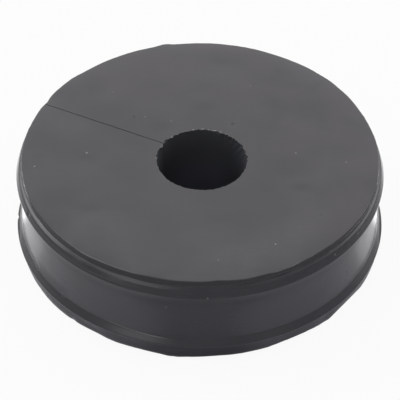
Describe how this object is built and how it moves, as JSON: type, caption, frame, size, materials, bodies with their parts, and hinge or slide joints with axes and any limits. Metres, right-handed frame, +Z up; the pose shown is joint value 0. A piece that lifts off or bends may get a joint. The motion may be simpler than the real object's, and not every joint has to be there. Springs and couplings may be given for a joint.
{
  "type": "rubber grommet",
  "caption": "Split round rubber grommet with a central cable bore, a shallow panel groove between two thin lips and one hairline radial cut.",
  "frame": {"origin": "middle of the bottom face, on the axis of the two lips", "axes": "+Z up along the axis of the lips, from the bottom face to the top face; the cut points to the back left"},
  "size_m": [0.05, 0.05, 0.014],
  "materials": {
    "rubber": "satin black moulded rubber"
  },
  "bodies": {
    "root": {"grommet": "rubber"}
  },
  "joints": []
}
